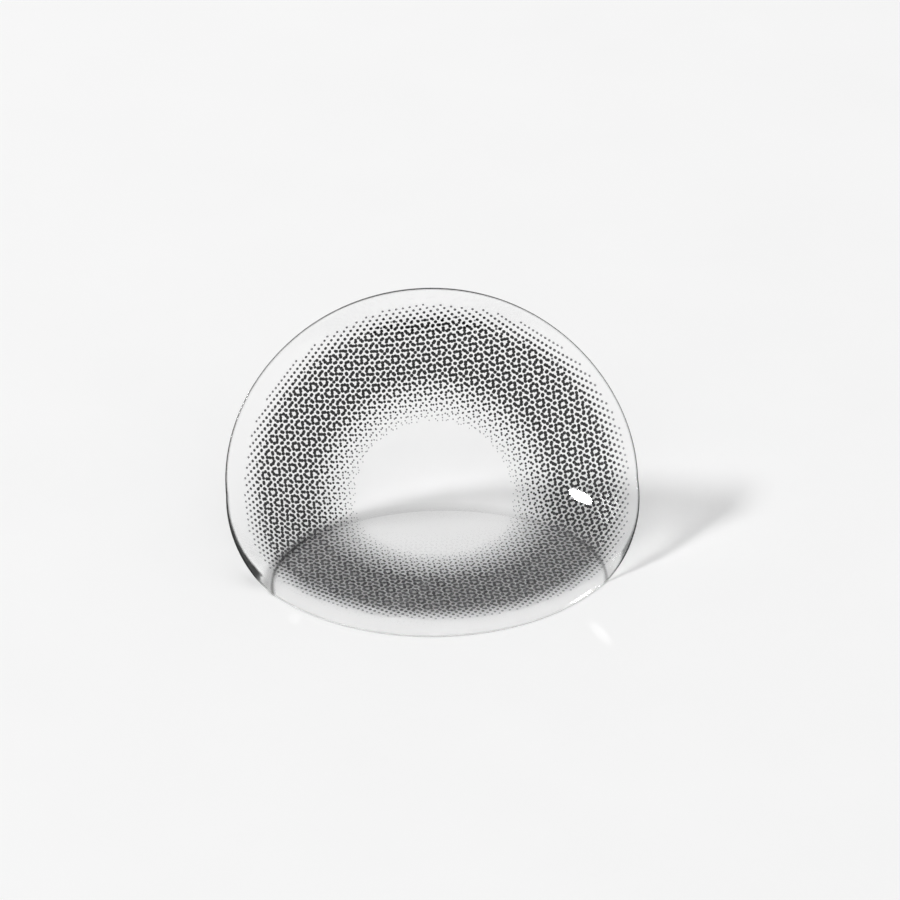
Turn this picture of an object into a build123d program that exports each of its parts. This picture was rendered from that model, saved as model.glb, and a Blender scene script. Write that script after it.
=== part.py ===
from build123d import *
from math import asin, cos, degrees, radians, sin, sqrt
import os

# A soft coloured contact lens, standing bent on a table with its hollow side to the
# viewer. The near part of the wall lies flat on the table, the rest stands up as a bowl.
# Frame: X across, -Y towards the viewer, +Z up, origin under the middle on the table.

# The lens as it is made, in millimetres. Its base curve is wider than half the lens.
lens_diameter = 14.2
base_curve_past_rim = 1.5
wall = 0.12

# The printed ring, measured on the lens seen face on. It sits a little off the middle.
clear_margin = 0.7
outer_fade_width = 0.75
dark_ring_width = 1.8
pupil_fade_width = 0.85
print_thickness = 0.04
print_to_the_right = 0.17
print_up = 0.29

# How the lens is bent: how much tighter than its base curve the wall is up its middle,
# the way its hollow faces, and the fold between the flat part and the standing one.
# The fold would end a little past the rim.
bend_tightening = 1.4
facing_angle = 39.4
fold_angle = 36.6
fold_from_middle = 0.28
fold_past_rim = 0.25
fold_round = 0.5
side_spread = 0.036
floor_spread = 0.1
floor_stretch = 0.94

# Angles that only have to reach past the lens
turn_each_way = 60.0
lowest_angle = -25.0
spare_angle = 15.0
rim_points = 48

os.makedirs("parts", exist_ok=True)

lens_radius = lens_diameter / 2
base_curve = lens_radius + base_curve_past_rim
bend_radius = base_curve - bend_tightening
fold_slope = radians(fold_angle)
facing = radians(facing_angle)
hollow_side = Vector(0, -sin(facing), cos(facing))
up_the_wall = Vector(0, cos(facing), sin(facing))


def arc_from_fold(v):
    """Length along the unbent lens from the fold to a point of its face-on view."""
    return base_curve * (asin(v / base_curve) + asin(fold_from_middle / base_curve))


def along_wall(v):
    """How far up the wall a point of the flat print lies, seen along the hollow's axis."""
    past_fold = max(0.0, -fold_from_middle - v)
    wall_turn = max(0.0, arc_from_fold(v)) / bend_radius
    return bend_radius * sin(fold_slope + wall_turn - facing) - floor_stretch * past_fold


def across_wall(u, v):
    """How far from the middle line a point of the flat print lies."""
    past_fold = max(0.0, (-fold_from_middle - v) / (lens_radius - fold_from_middle))
    return u * (1 + side_spread * (u / lens_radius) ** 2 + floor_spread * past_fold)


def bent_circle(diameter, right=0.0, up=0.0):
    """Points of a circle on the lens, after the bend, seen along the hollow's axis."""
    points = []
    for step in range(rim_points):
        turn = radians(360 * step / rim_points)
        u = diameter / 2 * sin(turn) + right
        v = diameter / 2 * cos(turn) + up
        points.append((across_wall(u, v), along_wall(v)))
    return points


# The bend circle's middle stands over the flat part. The near rim and the back of the
# wall are equally far from the origin.
bend_height = wall + bend_radius * cos(fold_slope)
near_rim = (along_wall(-lens_radius) + (bend_height - wall) * sin(facing)) / cos(facing)
bend_y = -(near_rim + bend_radius + wall) / 2
bend_middle = Vector(0, bend_y, bend_height)

# The fold is widest where the wall's lowest line meets the table, and it runs out there
sag_at_widest = bend_radius * (1 - cos(fold_slope)) / cos(facing)
y_widest = bend_y - sag_at_widest * sin(facing)
widest_along = -sag_at_widest * sin(facing) * cos(facing) - bend_height * sin(facing)
widest_v = (widest_along - along_wall(-fold_from_middle)) / floor_stretch - fold_from_middle
widest_u = sqrt(lens_radius ** 2 - widest_v ** 2)
fold_half_width = across_wall(widest_u, widest_v) + fold_past_rim
lowest_line_radius = (fold_half_width ** 2 + sag_at_widest ** 2) / (2 * sag_at_widest)

# The wall is swept round this line, which gives it its curve across
side_axis_offset = lowest_line_radius - (bend_radius + wall) * cos(facing)
side_axis_point = bend_middle + hollow_side * side_axis_offset
side_axis = Axis(side_axis_point, up_the_wall)
start_way = Vector(sin(radians(turn_each_way)), 0, 0) - hollow_side * cos(radians(turn_each_way))
start_plane = Plane(side_axis_point, x_dir=start_way, z_dir=start_way.cross(up_the_wall))
bend_centre = (side_axis_offset, 0)

reach = 2 * lens_diameter
face_on = Plane(bend_middle, x_dir=(1, 0, 0), z_dir=hollow_side)


def swept_sector(inner, outer, lowest):
    """The space between two bend circles, swept across the lens, above a height."""
    start = lowest_angle - facing_angle
    rim_angle = fold_angle + degrees(arc_from_fold(lens_radius) / bend_radius)
    span = rim_angle + spare_angle - lowest_angle
    with BuildPart() as sector:
        with BuildSketch(start_plane):
            with BuildLine():
                far = CenterArc(bend_centre, outer, start, span)
                if inner > 0:
                    near = CenterArc(bend_centre, inner, start, span)
                    Line(far @ 0, near @ 0)
                    Line(far @ 1, near @ 1)
                else:
                    Line(far @ 0, bend_centre)
                    Line(bend_centre, far @ 1)
            make_face()
        revolve(axis=side_axis, revolution_arc=2 * turn_each_way)
        split(bisect_by=Plane.XZ.offset(-y_widest), keep=Keep.BOTTOM)
        split(bisect_by=Plane.XY.offset(lowest), keep=Keep.TOP)
    return sector.part


def bent_sheet(under, over):
    """A sheet of the lens between two depths, both counted from its outer side."""
    outer_radius = bend_radius + wall - under
    inner_radius = bend_radius + wall - over
    with BuildPart() as sheet:
        add(swept_sector(0, (outer_radius + inner_radius) / 2, under))
        with BuildSketch(Plane.XY.offset(under)):
            with Locations((0, y_widest)):
                Rectangle(reach, reach, align=(Align.CENTER, Align.MAX))
        extrude(amount=over - under)
        with BuildSketch(Plane.XY.offset(under)):
            Rectangle(2 * reach, 2 * reach)
        extrude(amount=over - under, mode=Mode.INTERSECT)
        add(swept_sector(inner_radius, outer_radius, under))
        with BuildSketch(face_on):
            with BuildLine():
                Spline(bent_circle(lens_diameter), periodic=True)
            make_face()
        extrude(amount=lens_diameter, both=True, mode=Mode.INTERSECT)
        for height, radius in ((under, fold_round + wall - under), (over, fold_round + wall - over)):
            level_edges = sheet.edges().filter_by_position(Axis.Z, height, height)
            fillet(level_edges.sort_by(Axis.Y)[-1], radius)
    return sheet.part


def print_field(outer_diameter, inner_diameter):
    """A ring of the printed layer on the hollow side of the wall."""
    with BuildPart() as field:
        add(bent_sheet(wall, wall + print_thickness))
        with BuildSketch(face_on):
            with BuildLine():
                Spline(bent_circle(outer_diameter, print_to_the_right, print_up), periodic=True)
            make_face()
            with BuildLine():
                Spline(bent_circle(inner_diameter, print_to_the_right, print_up), periodic=True)
            make_face(mode=Mode.SUBTRACT)
        extrude(amount=lens_diameter, both=True, mode=Mode.INTERSECT)
    return field.part


with BuildPart() as lens_body:
    add(bent_sheet(0, wall))
lens_body.part.label = "lens_body"
export_step(lens_body.part, "parts/lens_body.step")

print_diameter = lens_diameter - 2 * clear_margin
dark_ring_diameter = print_diameter - 2 * outer_fade_width
pupil_fade_diameter = dark_ring_diameter - 2 * dark_ring_width
pupil_diameter = pupil_fade_diameter - 2 * pupil_fade_width

with BuildPart() as print_outer_fade:
    add(print_field(print_diameter, dark_ring_diameter))
print_outer_fade.part.label = "print_outer_fade"
export_step(print_outer_fade.part, "parts/print_outer_fade.step")

with BuildPart() as print_dark_ring:
    add(print_field(dark_ring_diameter, pupil_fade_diameter))
print_dark_ring.part.label = "print_dark_ring"
export_step(print_dark_ring.part, "parts/print_dark_ring.step")

with BuildPart() as print_pupil_fade:
    add(print_field(pupil_fade_diameter, pupil_diameter))
print_pupil_fade.part.label = "print_pupil_fade"
export_step(print_pupil_fade.part, "parts/print_pupil_fade.step")
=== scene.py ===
import math

import bpy
import numpy as np
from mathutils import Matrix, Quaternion, Vector


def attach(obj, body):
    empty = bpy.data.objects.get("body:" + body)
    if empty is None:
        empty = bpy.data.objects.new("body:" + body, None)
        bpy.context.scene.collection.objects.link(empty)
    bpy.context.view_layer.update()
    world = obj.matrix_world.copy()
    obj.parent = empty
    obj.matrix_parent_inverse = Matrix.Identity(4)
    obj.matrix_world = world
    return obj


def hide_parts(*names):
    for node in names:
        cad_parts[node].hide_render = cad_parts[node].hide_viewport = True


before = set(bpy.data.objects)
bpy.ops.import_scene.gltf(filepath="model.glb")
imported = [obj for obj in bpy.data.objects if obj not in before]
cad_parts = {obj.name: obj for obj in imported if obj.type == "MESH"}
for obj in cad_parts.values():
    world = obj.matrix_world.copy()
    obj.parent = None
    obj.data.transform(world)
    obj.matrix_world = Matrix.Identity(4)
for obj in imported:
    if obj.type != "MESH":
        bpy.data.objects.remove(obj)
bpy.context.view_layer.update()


# The clear wall
# One soft shell of hydrogel, 0.12 mm thick, cast between two moulds and then swollen with
# water. Its near part lies flat on the table and the rest stands up as a bowl.
MM = 0.001

# The lens as it is made and as it is bent, in millimetres and degrees, as in the source
lens_radius = 14.2 / 2
base_curve = lens_radius + 1.5
wall = 0.12
bend_radius = base_curve - 1.4
facing = math.radians(39.4)
fold_slope = math.radians(36.6)
fold_from_middle = 0.28
fold_past_rim = 0.25
side_spread = 0.036
floor_spread = 0.1
floor_stretch = 0.94
fold_softness = 0.05

# The rim's thickness where it stands and where it lies. It changes over these turns, which
# go in degrees from the top of the lens, and the wall thins over the taper's width.
standing_edge = 0.1
lying_edge = 0.05
edge_turns = (112, 122)
edge_taper = 0.45

# The rim's painted dark reflection line: its strength round the lens, and the painted crescents
# it widens to
painted_rim_line_width = 0.045
painted_rim_turns = (-180, -135, -118, -105, -90, -50, 0, 50, 90, 108, 116, 124, 135, 180)
painted_rim_strengths = (0.5, 0.9, 0.95, 0.95, 0.65, 0.45, 0.38, 0.42, 0.42, 0.42, 0.65, 0.5, 0.3, 0.5)
painted_crescent_turns = (-128, -123.5, -122, -118, -112, -100, -85, 104, 112, 118, 121, 128)
painted_crescent_widths = (0, 0.02, 0.2, 0.17, 0.09, 0.03, 0, 0, 0.04, 0.1, 0.02, 0)
painted_crescent_softness = 0.05

# The painted shade line of the fold's crease: its strength over the distance from the fold's end
left_crease_reach = (-0.4, 0, 0.8, 1.5)
left_crease_shade = (0.5, 0.55, 0.9, 0)
right_crease_reach = (-0.4, 0, 0.4, 1.1)
right_crease_shade = (0.4, 0.4, 0.5, 0)
crease_half_width = 0.015
crease_fade = 0.05

# The wet gel: the ripple left by the mould, and the heights of the painted shade on what clings
# to the table
ripple_length = 1.6
ripple_depth = 0.02
clinging_height = 0.13
clear_height = 0.2
lens_height = 8


def along_wall(v):
    """How far up the wall a point of the flat print lies, seen along the hollow's axis."""
    past_fold = np.maximum(0.0, -fold_from_middle - v)
    to_point = np.arcsin(v / base_curve) + math.asin(fold_from_middle / base_curve)
    from_fold = base_curve * to_point
    turn = fold_slope + np.maximum(0.0, from_fold) / bend_radius - facing
    return bend_radius * np.sin(turn) - floor_stretch * past_fold


def across_wall(u, v):
    """How far from the middle line a point of the flat print lies."""
    past_fold = np.maximum(0.0, -fold_from_middle - v) / (lens_radius - fold_from_middle)
    return u * (1 + side_spread * (u / lens_radius) ** 2 + floor_spread * past_fold)


middle_height = wall + bend_radius * math.cos(fold_slope)
near_rim_along = along_wall(-lens_radius) + (middle_height - wall) * math.sin(facing)
near_rim = near_rim_along / math.cos(facing)
middle_y = -(near_rim + bend_radius + wall) / 2
sag_at_widest = bend_radius * (1 - math.cos(fold_slope)) / math.cos(facing)
widest_y = -sag_at_widest * math.sin(facing)
widest_along = (widest_y * math.cos(facing)) - middle_height * math.sin(facing)
widest_v = (widest_along - along_wall(-fold_from_middle)) / floor_stretch - fold_from_middle
widest_u = math.sqrt(lens_radius ** 2 - widest_v ** 2)
widest_x = across_wall(widest_u, widest_v)
fold_half_width = widest_x + fold_past_rim
lowest_line_radius = (fold_half_width ** 2 + sag_at_widest ** 2) / (2 * sag_at_widest)
side_axis_offset = lowest_line_radius - (bend_radius + wall) * math.cos(facing)


def bowl_and_flat(x, t):
    """How far the bowl and the flat part lie along the hollow's axis, and the flat part's y."""
    radius = bend_radius + wall / 2
    up = np.arcsin(np.clip(t / radius, -1, 1))
    sweep = side_axis_offset + radius * np.cos(up)
    bowl = side_axis_offset - np.sqrt(np.maximum(sweep ** 2 - x ** 2, 0))
    flat = (wall / 2 - middle_height - t * math.sin(facing)) / math.cos(facing)
    return bowl, flat, t * math.cos(facing) - flat * math.sin(facing)


def middle_of_wall(u, v):
    """Points half-way through the wall, in millimetres, of points of the flat lens."""
    x = across_wall(u, v)
    t = along_wall(v)
    radius = bend_radius + wall / 2
    bowl, flat, flat_y = bowl_and_flat(x, t)
    higher = (bowl + flat + np.sqrt((bowl - flat) ** 2 + fold_softness ** 2)) / 2
    in_front = np.clip((widest_y - flat_y) / fold_softness, 0, 1)
    n = np.where(t < -radius, flat, higher * (1 - in_front) + flat * in_front)
    y = middle_y + t * math.cos(facing) - n * math.sin(facing)
    z = middle_height + t * math.sin(facing) + n * math.cos(facing)
    return np.stack([x, y, z], -1)


def wall_point(u, v, towards_hollow):
    """Points of the wall at a distance from its middle, towards the hollow side."""
    slope_step = 0.004
    across = middle_of_wall(u + slope_step, v) - middle_of_wall(u - slope_step, v)
    along = middle_of_wall(u, v + slope_step) - middle_of_wall(u, v - slope_step)
    normal = np.cross(across, along)
    normal /= np.linalg.norm(normal, axis=-1, keepdims=True)
    return middle_of_wall(u, v) + normal * np.asarray(towards_hollow)[..., None]


def ring_quads(rows, spokes):
    """Quads between rings of points. Point 0 is the pole before the first ring."""
    faces = []
    for row in range(rows - 1):
        for i in range(spokes):
            a = 1 + row * spokes + i
            b = 1 + row * spokes + (i + 1) % spokes
            faces.append((a, a + spokes, b + spokes, b))
    return faces


def painted_rim_line(u, v):
    """How strongly the rim's painted dark reflection line shows, from 0 to 1, and where it
    widens to a painted dark crescent, just above each corner of the fold. Turns go from the top
    of the lens."""
    turn = np.degrees(np.arctan2(u, v))
    from_rim = lens_radius - np.hypot(u, v)
    strength = np.interp(turn, painted_rim_turns, painted_rim_strengths)
    width = painted_rim_line_width + np.interp(turn, painted_crescent_turns, painted_crescent_widths)
    return strength * np.clip((width - from_rim) / painted_crescent_softness, 0, 1)


def crease(u, v):
    """How far a point is past the fold, and how strongly the painted shade of the fold's crease
    shows there, which is only near its two ends."""
    x = across_wall(u, v)
    bowl, flat, flat_y = bowl_and_flat(x, along_wall(v))
    from_end = widest_x - np.abs(x)
    left = np.interp(from_end, left_crease_reach, left_crease_shade)
    strength = np.where(x < 0, left, np.interp(from_end, right_crease_reach, right_crease_shade))
    return bowl - flat, strength * (flat_y > widest_y)


def lens_wall():
    """The closed wall: its outer side, the rounded rim and its hollow side, from pole to
    pole. The rings lie closer near the rim, where the crescents need them."""
    spokes = 360
    rings = 130
    closer_at_rim = 0.4
    edge_steps = 8
    turns = np.linspace(-math.pi, math.pi, spokes, endpoint=False)
    edge = np.interp(np.abs(np.degrees(turns)), edge_turns, (standing_edge, lying_edge))
    half_edge = edge / 2
    edge_start = lens_radius - half_edge
    share = np.arange(1, rings + 1) / rings
    share += closer_at_rim * (np.sin(share * math.pi / 2) - share)
    sides = np.outer(share, edge_start)
    past_taper = np.clip(1 - (edge_start - sides[::-1]) / edge_taper, 0, 1)
    round_the_edge = math.pi * np.arange(1, edge_steps) / edge_steps
    edge_radii = edge_start + np.outer(np.sin(round_the_edge), half_edge)
    radii = np.vstack([sides, edge_radii, sides[::-1]])
    depth = np.vstack([np.full(sides.shape, -wall / 2),
                       np.outer(1 - np.cos(round_the_edge), half_edge) - wall / 2,
                       wall / 2 - (wall - 2 * half_edge) * past_taper ** 2])
    u = (radii * np.sin(turns)).ravel()
    v = (radii * np.cos(turns)).ravel()
    depth = depth.ravel()
    points = wall_point(u, v, depth)
    poles = wall_point(np.zeros(2), np.zeros(2), np.array([-wall / 2, wall / 2]))
    points = np.vstack([poles[:1], points, poles[1:]])
    faces = ring_quads(len(radii), spokes)
    last = len(points) - 1
    for i in range(spokes):
        j = (i + 1) % spokes
        faces.append((0, 1 + i, 1 + j))
        faces.append((last, last - spokes + j, last - spokes + i))
    mesh = bpy.data.meshes.new("lens_wall")
    mesh.from_pydata((points * MM).tolist(), [], faces)
    mesh.polygons.foreach_set("use_smooth", [True] * len(faces))
    hollow_side = depth > -wall / 2
    past_fold, crease_shade_strength = crease(u, v)
    # The painted rim reflection line and the painted crease shade, kept as attributes for the
    # gel
    for name, values in (("painted_rim_reflection", painted_rim_line(u, v) * hollow_side),
                         ("past_fold", past_fold),
                         ("crease", crease_shade_strength * hollow_side)):
        attribute = mesh.attributes.new(name, "FLOAT", "POINT")
        attribute.data.foreach_set("value", np.concatenate([[0], values, [0]]))
    return mesh


def linear(hex_colour):
    """An sRGB hex colour as linear red, green, blue and 1."""
    channels = [int(hex_colour[i:i + 2], 16) / 255 for i in (1, 3, 5)]
    return [c / 12.92 if c <= 0.04045 else ((c + 0.055) / 1.055) ** 2.4 for c in channels] + [1]


def add_node(tree, kind, settings=(), inputs=()):
    """A node with its settings. Each of its inputs, by name or in order, is given a value or
    another node's output."""
    node = tree.nodes.new(kind)
    for name, value in dict(settings).items():
        setattr(node, name, value)
    if not isinstance(inputs, dict):
        inputs = dict(enumerate(inputs))
    for name, value in inputs.items():
        if isinstance(value, bpy.types.NodeSocket):
            tree.links.new(value, node.inputs[name])
        else:
            node.inputs[name].default_value = value
    return node


def new_material(name):
    material = bpy.data.materials.new(name)
    material.use_nodes = True
    material.node_tree.nodes.clear()
    return material


def hydrogel():
    """Wet hydrogel, 38% water and clear: a gloss without a scratch, bent light at the edges.
    The part that clings to the table is painted a little greyer, as painted shade. The rim
    has a painted dark reflection line, a dark diffuse that stands for the dark surroundings it
    would reflect, painted lighter where it lies in the water on the table. The tight crease at
    each end of the fold has a painted shade line of dark grey."""
    material = new_material("wet_hydrogel")
    tree = material.node_tree
    place = add_node(tree, "ShaderNodeTexCoord").outputs["Object"]
    ripple = add_node(tree, "ShaderNodeTexNoise", {}, {
        "Vector": place, "Scale": 1 / (ripple_length * MM), "Detail": 1.0})
    bump = add_node(tree, "ShaderNodeBump", {}, {
        "Height": ripple.outputs["Fac"], "Strength": 0.012, "Distance": ripple_depth * MM})
    height = add_node(tree, "ShaderNodeSeparateXYZ", {}, {"Vector": place}).outputs["Z"]
    # Painted shade: the gel low on the table is tinted greyer than the clear wall above it
    above_painted_shade = add_node(tree, "ShaderNodeMapRange", {}, {
        "Value": height, "From Min": clinging_height * MM, "From Max": clear_height * MM})
    painted_low_shade = add_node(tree, "ShaderNodeValToRGB", {}, {"Fac": above_painted_shade.outputs["Result"]})
    painted_low_shade.color_ramp.elements[0].color = linear("#f5f5f5")
    painted_low_shade.color_ramp.elements[1].color = linear("#ffffff")
    gel = add_node(tree, "ShaderNodeBsdfPrincipled", {}, {
        "Base Color": painted_low_shade.outputs["Color"], "Normal": bump.outputs["Normal"],
        "Roughness": 0.0, "IOR": 1.42, "Transmission Weight": 1.0})
    # Painted reflection: the rim's dark line is a dark diffuse mixed into the gel, light low
    # down in the water and darker up the wall
    upwards = add_node(tree, "ShaderNodeMapRange", {}, {
        "Value": height, "From Max": lens_height * MM})
    painted_rim_tone = add_node(tree, "ShaderNodeValToRGB", {}, {"Fac": upwards.outputs["Result"]})
    in_the_water = 0.016
    painted_rim_tone.color_ramp.elements[0].position = in_the_water
    painted_rim_tone.color_ramp.elements[0].color = linear("#d8d8d8")
    painted_rim_tone.color_ramp.elements[1].color = linear("#989898")
    for share_of_height, colour in ((0.045, "#303030"), (0.28, "#404040"), (0.55, "#787878")):
        painted_rim_tone.color_ramp.elements.new(share_of_height).color = linear(colour)
    rim = add_node(tree, "ShaderNodeBsdfDiffuse", {}, {"Color": painted_rim_tone.outputs["Color"]})
    painted_rim_share = add_node(tree, "ShaderNodeAttribute", {"attribute_name": "painted_rim_reflection"})
    with_painted_rim = add_node(tree, "ShaderNodeMixShader", {}, (
        painted_rim_share.outputs["Fac"], gel.outputs["BSDF"], rim.outputs["BSDF"]))
    # Painted shade: a dark grey diffuse mixed into the gel along the crease near each end of the
    # fold
    past_fold = add_node(tree, "ShaderNodeAttribute", {"attribute_name": "past_fold"})
    from_fold = add_node(tree, "ShaderNodeMath", {"operation": "ABSOLUTE"}, (
        past_fold.outputs["Fac"],))
    line = add_node(tree, "ShaderNodeMapRange", {}, {
        "Value": from_fold.outputs["Value"], "From Min": crease_half_width,
        "From Max": crease_fade, "To Min": 1.0, "To Max": 0.0})
    painted_crease_share = add_node(tree, "ShaderNodeAttribute", {"attribute_name": "crease"})
    painted_crease_mask = add_node(tree, "ShaderNodeMath", {"operation": "MULTIPLY"}, (
        line.outputs["Result"], painted_crease_share.outputs["Fac"]))
    grey = add_node(tree, "ShaderNodeBsdfDiffuse", {}, {"Color": linear("#484848")})
    with_painted_crease = add_node(tree, "ShaderNodeMixShader", {}, (
        painted_crease_mask.outputs["Value"], with_painted_rim.outputs["Shader"], grey.outputs["BSDF"]))
    add_node(tree, "ShaderNodeOutputMaterial", {}, {"Surface": with_painted_crease.outputs["Shader"]})
    return material


def piece_from(mesh, name):
    piece = bpy.data.objects.new(name, mesh)
    bpy.context.scene.collection.objects.link(piece)
    return piece


clear_wall = piece_from(lens_wall(), "clear_wall")
clear_wall.data.materials.append(hydrogel())
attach(clear_wall, "root")
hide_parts("lens_body")


# The printed ring
# Two square screens of pigment dots, pad-printed one over the other and enclosed in the
# wall near its hollow side. Each screen's dots shrink towards both edges of the ring.
print_right = 0.17
print_up = 0.22
print_depth = 0.03
flat_size = 2 * lens_radius
dot_sides = 8
dot_thickness_share = 0.06

# The ink reaches its full thickness half-way through the pupil's fade. It shows paler where
# the print lies in the water, and fully above that.
pupil_ink_gain = 2.0
wet_print_height = 0.12
dry_print_height = 0.35
wet_ink_share = 0.5
blotch_length = 0.4
blotch_share = -0.14


def print_bed():
    """The surface that the print lies in, with a map of the flat lens on it."""
    spokes = 200
    rings = 90
    turns = np.linspace(0, 2 * math.pi, spokes, endpoint=False)
    radii = lens_radius * np.arange(1, rings + 1) / rings
    u = np.append(0, np.outer(radii, np.sin(turns)).ravel())
    v = np.append(0, np.outer(radii, np.cos(turns)).ravel())
    points = wall_point(u, v, np.full(len(u), print_depth))
    faces = [face[::-1] for face in ring_quads(rings, spokes)]
    faces += [(0, 1 + (i + 1) % spokes, 1 + i) for i in range(spokes)]
    mesh = bpy.data.meshes.new("print_bed")
    mesh.from_pydata((points * MM).tolist(), [], faces)
    mesh.polygons.foreach_set("use_smooth", [True] * len(faces))
    face_on = mesh.uv_layers.new(name="face_on")
    corners = np.empty(len(mesh.loops), dtype=np.int32)
    mesh.loops.foreach_get("vertex_index", corners)
    flat = np.stack([u[corners], v[corners]], -1) / flat_size + 0.5
    face_on.data.foreach_set("uv", flat.ravel())
    return piece_from(mesh, "print_bed")


def screen_tree():
    """One screen: a turned grid of points is cut to the ring, each point gets a dot that is
    smaller near the ring's edges, and the map of the flat lens lays the dots on the bed."""
    tree = bpy.data.node_groups.new("dot_screen", "GeometryNodeTree")
    face = tree.interface
    for name, kind in (("Geometry", "Geometry"), ("Bed", "Object"), ("Ink", "Material"),
                       ("Dots across", "Int"), ("Pitch", "Float"), ("Turn", "Float"),
                       ("Outer radius", "Float"), ("Pupil radius", "Float"),
                       ("Outer fade", "Float"), ("Pupil fade", "Float"),
                       ("Outermost dot", "Float"), ("Innermost dot", "Float"),
                       ("Largest dot", "Float"), ("Right", "Float"), ("Up", "Float"),
                       ("Flat size", "Float"), ("Widening", "Float"), ("Pull", "Float"),
                       ("Pull middle", "Float"), ("Pull reach", "Float"),
                       ("Thinning", "Float")):
        face.new_socket(name=name, in_out="INPUT", socket_type="NodeSocket" + kind)
    face.new_socket(name="Geometry", in_out="OUTPUT", socket_type="NodeSocketGeometry")
    given = add_node(tree, "NodeGroupInput").outputs
    less = ("ShaderNodeMath", {"operation": "SUBTRACT"})
    times = ("ShaderNodeMath", {"operation": "MULTIPLY"})
    over = ("ShaderNodeMath", {"operation": "DIVIDE"})
    plus = ("ShaderNodeMath", {"operation": "ADD"})
    least = ("ShaderNodeMath", {"operation": "MINIMUM"})
    times_plus = ("ShaderNodeMath", {"operation": "MULTIPLY_ADD"})

    # The turned grid, cut to the ring
    spaces = add_node(tree, *less, (given["Dots across"], 1)).outputs[0]
    side = add_node(tree, *times, (spaces, given["Pitch"])).outputs[0]
    grid = add_node(tree, "GeometryNodeMeshGrid", {}, {
        "Size X": side, "Size Y": side,
        "Vertices X": given["Dots across"], "Vertices Y": given["Dots across"]})
    turn = add_node(tree, "ShaderNodeCombineXYZ", {}, {"Z": given["Turn"]})
    turned = add_node(tree, "GeometryNodeTransform", {}, {
        "Geometry": grid.outputs["Mesh"], "Rotation": turn.outputs["Vector"]})
    place = add_node(tree, "GeometryNodeInputPosition").outputs["Position"]
    radius = add_node(tree, "ShaderNodeVectorMath", {"operation": "LENGTH"}, (
        place,)).outputs["Value"]
    from_outside = add_node(tree, *less, (given["Outer radius"], radius)).outputs[0]
    outer_share = add_node(tree, *over, (from_outside, given["Outer fade"])).outputs[0]
    from_pupil = add_node(tree, *less, (radius, given["Pupil radius"])).outputs[0]
    pupil_share = add_node(tree, *over, (from_pupil, given["Pupil fade"])).outputs[0]
    share = add_node(tree, *least, (outer_share, pupil_share)).outputs[0]
    outside = add_node(tree, "FunctionNodeCompare", {
        "data_type": "FLOAT", "operation": "LESS_THAN"}, {"A": share})
    kept = add_node(tree, "GeometryNodeDeleteGeometry", {"domain": "POINT"}, {
        "Geometry": turned.outputs["Geometry"], "Selection": outside.outputs["Result"]})

    # How far the bend draws the print towards the viewer, as a soft bell over the lens
    spot = add_node(tree, "ShaderNodeSeparateXYZ", {}, {"Vector": place})
    above_pull = add_node(tree, *less, (spot.outputs["Y"], given["Pull middle"])).outputs[0]
    from_pull = add_node(tree, *over, (above_pull, given["Pull reach"])).outputs[0]
    squared = add_node(tree, *times, (from_pull, from_pull)).outputs[0]
    falling = add_node(tree, *times, (squared, -1.0)).outputs[0]
    pull_share = add_node(tree, "ShaderNodeMath", {"operation": "EXPONENT"}, (
        falling,)).outputs[0]

    # Each dot's size, and how thick its ink is
    faded = []
    for fade_share, edge_dot in ((outer_share, "Outermost dot"), (pupil_share, "Innermost dot")):
        span = add_node(tree, *less, (given["Largest dot"], given[edge_dot])).outputs[0]
        grown = add_node(tree, *least, (fade_share, 1.0)).outputs[0]
        faded.append(add_node(tree, *times_plus, (grown, span, given[edge_dot])).outputs[0])
    even_size = add_node(tree, *least, faded).outputs[0]
    lost = add_node(tree, *times, (pull_share, given["Thinning"])).outputs[0]
    remaining = add_node(tree, *less, (1.0, lost)).outputs[0]
    size = add_node(tree, *times, (even_size, remaining)).outputs[0]
    named_size = add_node(tree, "GeometryNodeStoreNamedAttribute", {
        "data_type": "FLOAT", "domain": "POINT"}, {
        "Name": "dot", "Geometry": kept.outputs["Geometry"], "Value": size})
    pupil_ink = add_node(tree, *times, (pupil_share, pupil_ink_gain)).outputs[0]
    inked_share = add_node(tree, *least, (outer_share, pupil_ink)).outputs[0]
    named_ink = add_node(tree, "GeometryNodeStoreNamedAttribute", {
        "data_type": "FLOAT", "domain": "POINT"}, {
        "Name": "ink", "Geometry": named_size.outputs["Geometry"], "Value": inked_share})

    # Each dot's place on the map of the flat lens, and from there on the bed
    widened = add_node(tree, *times_plus, (
        spot.outputs["X"], given["Widening"], given["Right"])).outputs[0]
    share_across = add_node(tree, *over, (widened, given["Flat size"])).outputs[0]
    map_u = add_node(tree, *plus, (share_across, 0.5)).outputs[0]
    drawn = add_node(tree, *times, (pull_share, given["Pull"])).outputs[0]
    pulled = add_node(tree, *less, (spot.outputs["Y"], drawn)).outputs[0]
    raised = add_node(tree, *plus, (pulled, given["Up"])).outputs[0]
    share_up = add_node(tree, *over, (raised, given["Flat size"])).outputs[0]
    map_v = add_node(tree, *plus, (share_up, 0.5)).outputs[0]
    map_point = add_node(tree, "ShaderNodeCombineXYZ", {}, {"X": map_u, "Y": map_v})
    bed = add_node(tree, "GeometryNodeObjectInfo", {}, {"Object": given["Bed"]})
    bed_map = add_node(tree, "GeometryNodeInputNamedAttribute", {
        "data_type": "FLOAT_VECTOR"}, {"Name": "face_on"})
    bed_normal = add_node(tree, "GeometryNodeInputNormal").outputs["Normal"]
    on_bed = []
    for value in (bed_normal, place):
        sample = add_node(tree, "GeometryNodeSampleUVSurface", {"data_type": "FLOAT_VECTOR"}, {
            "Mesh": bed.outputs["Geometry"], "Value": value,
            "Sample UV": map_point.outputs["Vector"]})
        for socket in sample.inputs:
            if socket.name in ("UV Map", "Source UV Map"):
                tree.links.new(bed_map.outputs["Attribute"], socket)
        on_bed.append(sample.outputs["Value"])
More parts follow.
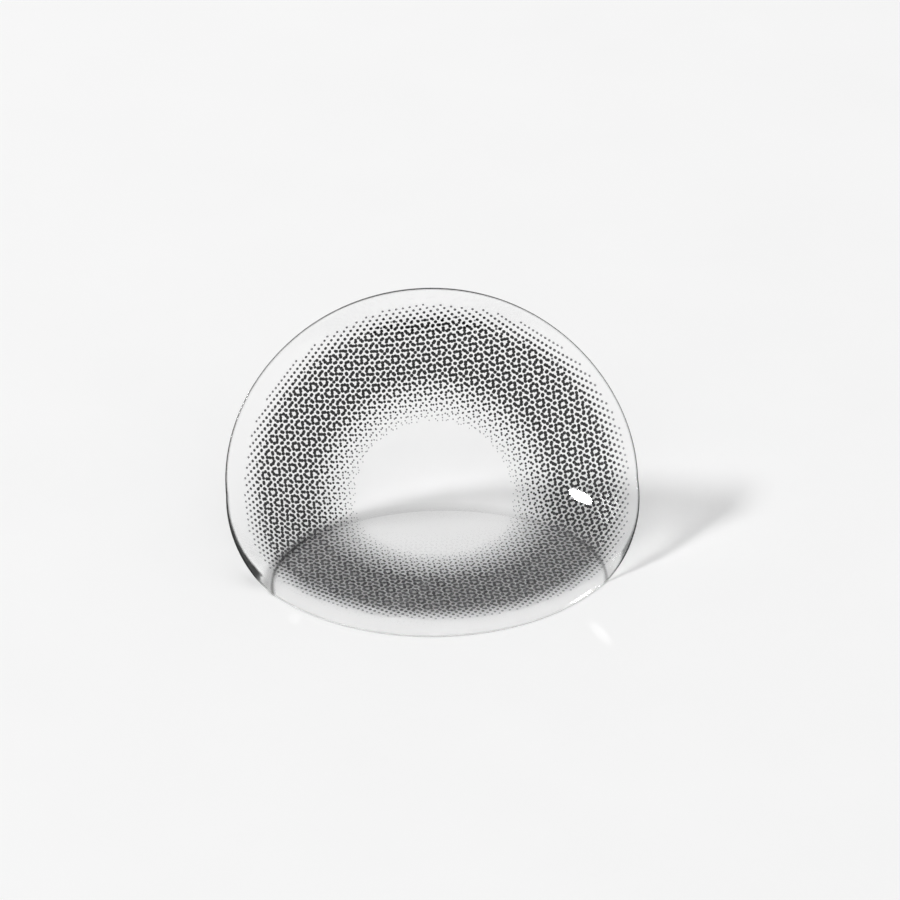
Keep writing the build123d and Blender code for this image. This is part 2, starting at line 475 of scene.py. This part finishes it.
    way_on_bed, place_on_bed = on_bed
    named_way = add_node(tree, "GeometryNodeStoreNamedAttribute", {
        "data_type": "FLOAT_VECTOR", "domain": "POINT"}, {
        "Name": "way", "Geometry": named_ink.outputs["Geometry"], "Value": way_on_bed})
    laid = add_node(tree, "GeometryNodeSetPosition", {}, {
        "Geometry": named_way.outputs["Geometry"], "Position": place_on_bed})

    # The dots, small flat discs that face out of the bed
    stored_way = add_node(tree, "GeometryNodeInputNamedAttribute", {
        "data_type": "FLOAT_VECTOR"}, {"Name": "way"})
    stored_size = add_node(tree, "GeometryNodeInputNamedAttribute", {
        "data_type": "FLOAT"}, {"Name": "dot"})
    facing_out = add_node(tree, "FunctionNodeAlignRotationToVector", {"axis": "Z"}, {
        "Vector": stored_way.outputs["Attribute"]})
    dot = add_node(tree, "GeometryNodeMeshCylinder", {"fill_type": "NGON"}, {
        "Vertices": dot_sides, "Radius": 0.5, "Depth": dot_thickness_share})
    dots = add_node(tree, "GeometryNodeInstanceOnPoints", {}, {
        "Points": laid.outputs["Geometry"], "Instance": dot.outputs["Mesh"],
        "Rotation": facing_out.outputs["Rotation"],
        "Scale": stored_size.outputs["Attribute"]})
    solid = add_node(tree, "GeometryNodeRealizeInstances", {}, {
        "Geometry": dots.outputs["Instances"]})
    inked = add_node(tree, "GeometryNodeSetMaterial", {}, {
        "Geometry": solid.outputs["Geometry"], "Material": given["Ink"]})
    add_node(tree, "NodeGroupOutput", {}, {"Geometry": inked.outputs["Geometry"]})
    return tree


def pigment():
    """Black iron oxide in a clear binder: flat and nearly black, a little uneven from dot to
    dot as a pad leaves it. The thin dots at both edges of the ring let more light through, and
    so does the part that lies in the water on the table, so these look grey."""
    material = new_material("iron_oxide_print")
    tree = material.node_tree
    place = add_node(tree, "ShaderNodeTexCoord").outputs["Object"]
    height = add_node(tree, "ShaderNodeSeparateXYZ", {}, {"Vector": place}).outputs["Z"]
    out_of_water = add_node(tree, "ShaderNodeMapRange", {}, {
        "Value": height, "From Min": wet_print_height * MM, "From Max": dry_print_height * MM,
        "To Min": wet_ink_share, "To Max": 1.0})
    ink = add_node(tree, "ShaderNodeAttribute", {"attribute_name": "ink"})
    full = add_node(tree, "ShaderNodeMath", {"operation": "MINIMUM"}, (
        ink.outputs["Fac"], out_of_water.outputs["Result"]))
    uneven = add_node(tree, "ShaderNodeTexNoise", {}, {
        "Vector": place, "Scale": 1 / (blotch_length * MM), "Detail": 2.0})
    spread = add_node(tree, "ShaderNodeMath", {"operation": "MULTIPLY_ADD"}, (
        uneven.outputs["Fac"], blotch_share, full.outputs["Value"]))
    shades = add_node(tree, "ShaderNodeValToRGB", {}, {"Fac": spread.outputs["Value"]})
    half_thick = 0.45
    shades.color_ramp.elements[0].color = linear("#aaaaac")
    shades.color_ramp.elements[1].color = linear("#101012")
    shades.color_ramp.elements.new(half_thick).color = linear("#515153")
    oxide = add_node(tree, "ShaderNodeBsdfPrincipled", {}, {
        "Base Color": shades.outputs["Color"], "Roughness": 0.7, "Specular IOR Level": 0.2})
    add_node(tree, "ShaderNodeOutputMaterial", {}, {"Surface": oxide.outputs["BSDF"]})
    return material


def print_screen(name, tree, bed, ink, sizes):
    """One screen's dots as a plain mesh, made by the tree from the screen's sizes."""
    maker = piece_from(bpy.data.meshes.new(name + "_start"), name + "_maker")
    maker.data.from_pydata([(0, 0, 0)], [], [])
    modifier = maker.modifiers.new("screen", "NODES")
    modifier.node_group = tree
    sockets = {item.name: item.identifier for item in tree.interface.items_tree
               if item.in_out == "INPUT"}
    for socket, value in dict(sizes, Bed=bed, Ink=ink).items():
        modifier[sockets[socket]] = value
    grown = maker.evaluated_get(bpy.context.evaluated_depsgraph_get())
    mesh = bpy.data.meshes.new_from_object(grown)
    bpy.data.objects.remove(maker)
    for spare in ("dot", "way"):
        if spare in mesh.attributes:
            mesh.attributes.remove(mesh.attributes[spare])
    mesh.name = name
    return piece_from(mesh, name)


# The ring's sizes on the flat lens. The widening and the pull fit it to the bend.
bed = print_bed()
ink = pigment()
tree = screen_tree()
ring = {"Pupil radius": 2.72 * MM, "Pupil fade": 1.54 * MM, "Innermost dot": 0.045 * MM,
        "Right": print_right * MM, "Up": print_up * MM, "Flat size": flat_size * MM,
        "Widening": 1.04, "Pull": 0.33 * MM, "Pull middle": -2.3 * MM,
        "Pull reach": 3.6 * MM, "Thinning": 0.05}
first_sizes = {"Dots across": 75, "Pitch": 0.18 * MM, "Turn": math.radians(1.8),
               "Outer radius": 6.08 * MM, "Outer fade": 0.3 * MM,
               "Outermost dot": 0.06 * MM, "Largest dot": 0.141 * MM}
second_sizes = {"Dots across": 111, "Pitch": 0.167 * MM, "Turn": math.radians(-37.2),
                "Outer radius": 6.42 * MM, "Outer fade": 0.45 * MM,
                "Outermost dot": 0.09 * MM, "Largest dot": 0.136 * MM}
first_screen = print_screen("first_screen", tree, bed, ink, {**ring, **first_sizes})
second_screen = print_screen("second_screen", tree, bed, ink, {**ring, **second_sizes})
bpy.data.objects.remove(bed)
for screen in (first_screen, second_screen):
    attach(screen, "root")
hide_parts("print_dark_ring", "print_outer_fade", "print_pupil_fade")


# The table
# A white laminate board, wiped wet. It looks matt and very slightly cloudy, and it isn't
# part of the lens.
table_half = 0.6
table_level = 0.006
cloud_length = 6


def table_top():
    """The table's level is a few thousandths of a millimetre inside the flat part of the wall,
    because wet gel clings to the table with no air between."""
    level = table_level * MM
    corners = [(-table_half, -table_half, level), (table_half, -table_half, level),
               (table_half, table_half, level), (-table_half, table_half, level)]
    mesh = bpy.data.meshes.new("table_top")
    mesh.from_pydata(corners, [], [(0, 1, 2, 3)])
    material = new_material("white_laminate")
    tree = material.node_tree
    place = add_node(tree, "ShaderNodeTexCoord").outputs["Object"]
    grain = add_node(tree, "ShaderNodeTexNoise", {}, {
        "Vector": place, "Scale": 1 / (cloud_length * MM), "Detail": 2.0})
    shades = add_node(tree, "ShaderNodeValToRGB", {}, {"Fac": grain.outputs["Fac"]})
    shades.color_ramp.elements[0].color = linear("#f4f4f4")
    shades.color_ramp.elements[1].color = linear("#f7f7f7")
    white = add_node(tree, "ShaderNodeBsdfDiffuse", {}, {"Color": shades.outputs["Color"]})
    add_node(tree, "ShaderNodeOutputMaterial", {}, {"Surface": white.outputs["BSDF"]})
    mesh.materials.append(material)
    return piece_from(mesh, "table_top")


table = table_top()


# The studio light
# A plain bright sky, and three lamps 1.5 m away. The key lamp, on the left and a little
# behind, throws the bowl's shadow to the right. The two others give the highlights.
sky_light = 0.655
sky_as_seen = 0.94
lamp_distance = 1500

sky = bpy.data.worlds.new("studio")
sky.use_nodes = True
background = sky.node_tree.nodes["Background"]
background.inputs["Color"].default_value = linear("#ffffff")
path = add_node(sky.node_tree, "ShaderNodeLightPath")
seen = 0
for ray in ("Is Camera Ray", "Is Glossy Ray", "Is Transmission Ray"):
    seen = add_node(sky.node_tree, "ShaderNodeMath", {"operation": "ADD", "use_clamp": True}, (
        path.outputs[ray], seen)).outputs[0]
strength = add_node(sky.node_tree, "ShaderNodeMapRange", {}, {
    "Value": seen, "To Min": sky_light, "To Max": sky_as_seen})
sky.node_tree.links.new(strength.outputs["Result"], background.inputs["Strength"])
bpy.context.scene.world = sky


def soft_lamp(name, height, turn, tilt, width, tall, watts):
    """An oval lamp. Its height, its turn from the left towards the back and the tilt of its
    long axis are in degrees, all seen from the lens."""
    height = math.radians(height)
    turn = math.radians(turn)
    tilt = Quaternion((0, 0, 1), math.radians(tilt))
    way = Vector((-math.cos(turn) * math.cos(height), math.sin(turn) * math.cos(height),
                  math.sin(height)))
    data = bpy.data.lights.new(name, "AREA")
    data.shape = "ELLIPSE"
    data.size = width * MM
    data.size_y = tall * MM
    data.energy = watts
    lamp = bpy.data.objects.new(name, data)
    bpy.context.scene.collection.objects.link(lamp)
    lamp.rotation_euler = (way.to_track_quat("Z", "Y") @ tilt).to_euler()
    lamp.location = way * lamp_distance * MM
    return lamp


key_lamp = soft_lamp("key_lamp", height=40.5, turn=15, tilt=0, width=480, tall=200, watts=12.0)
gloss_lamp = soft_lamp("gloss_lamp", height=46.7, turn=-1.4, tilt=12.5, width=350, tall=100,
                       watts=8.0)
glint_lamp = soft_lamp("glint_lamp", height=46.6, turn=114.2, tilt=0, width=50, tall=105,
                       watts=0.38)
key_lamp.visible_glossy = False
gloss_lamp.visible_diffuse = False
gloss_lamp.visible_transmission = False
glint_lamp.visible_diffuse = False


# The camera
# It looks down at the lens from the front, a little from the left, with no shift. Its place
# follows from where the bend circle's foot shows in the frame.
camera_height = math.radians(32.96)
camera_turn = math.radians(4.26)
camera_distance = 250.0
pixels_per_mm = 28.19
image_side = 900
foot_pixel = (438.1, 575.7)
sensor_width = 36.0

foot = Vector((0, middle_y, 0))
ahead = Vector((math.sin(camera_turn), math.cos(camera_turn), 0))
right = Vector((math.cos(camera_turn), -math.sin(camera_turn), 0))
looking = ahead * math.cos(camera_height) - Vector((0, 0, math.sin(camera_height)))
up = right.cross(looking)
eye = foot - looking * camera_distance
foot_right = image_side / 2 - foot_pixel[0]
foot_down = foot_pixel[1] - image_side / 2
aim = foot + (right * foot_right + up * foot_down) / pixels_per_mm
camera_data = bpy.data.cameras.new("camera")
camera_data.sensor_width = sensor_width
camera_data.lens = pixels_per_mm * camera_distance / image_side * sensor_width
camera_data.clip_start = 0.01
camera = bpy.data.objects.new("camera", camera_data)
bpy.context.scene.collection.objects.link(camera)
camera.location = eye * MM
camera.rotation_euler = (aim - eye).to_track_quat("-Z", "Y").to_euler()
bpy.context.scene.camera = camera
bpy.context.scene.view_settings.view_transform = "Standard"


# The gathered light
# The bowl gathers light and throws it onto the table in front, as two small soft patches.
# A small round lamp over each patch gives it, squashed to the patch's own shape.
glow_height = 30.0
right_glow_pixel = (598, 632)
left_glow_pixel = (296, 618)
for name, pixel, turn, wide, tall, watts in (
        ("right_glow", right_glow_pixel, 20, 0.28, 1.0, 0.0035),
        ("left_glow", left_glow_pixel, 0, 0.28, 0.45, 0.0025)):
    across = (pixel[0] - foot_pixel[0]) / pixels_per_mm
    nearer = (pixel[1] - foot_pixel[1]) / pixels_per_mm / math.sin(camera_height)
    data = bpy.data.lights.new(name, "SPOT")
    data.spot_size = 2 * math.atan(tall / glow_height)
    data.spot_blend = 1.0
    data.shadow_soft_size = 0
    data.energy = watts
    glow = bpy.data.objects.new(name, data)
    bpy.context.scene.collection.objects.link(glow)
    glow.location = (foot + right * across - ahead * nearer + Vector((0, 0, glow_height))) * MM
    glow.rotation_euler = (0, 0, math.radians(turn))
    glow.scale = (wide / tall, 1, 1)
    glow.visible_glossy = False
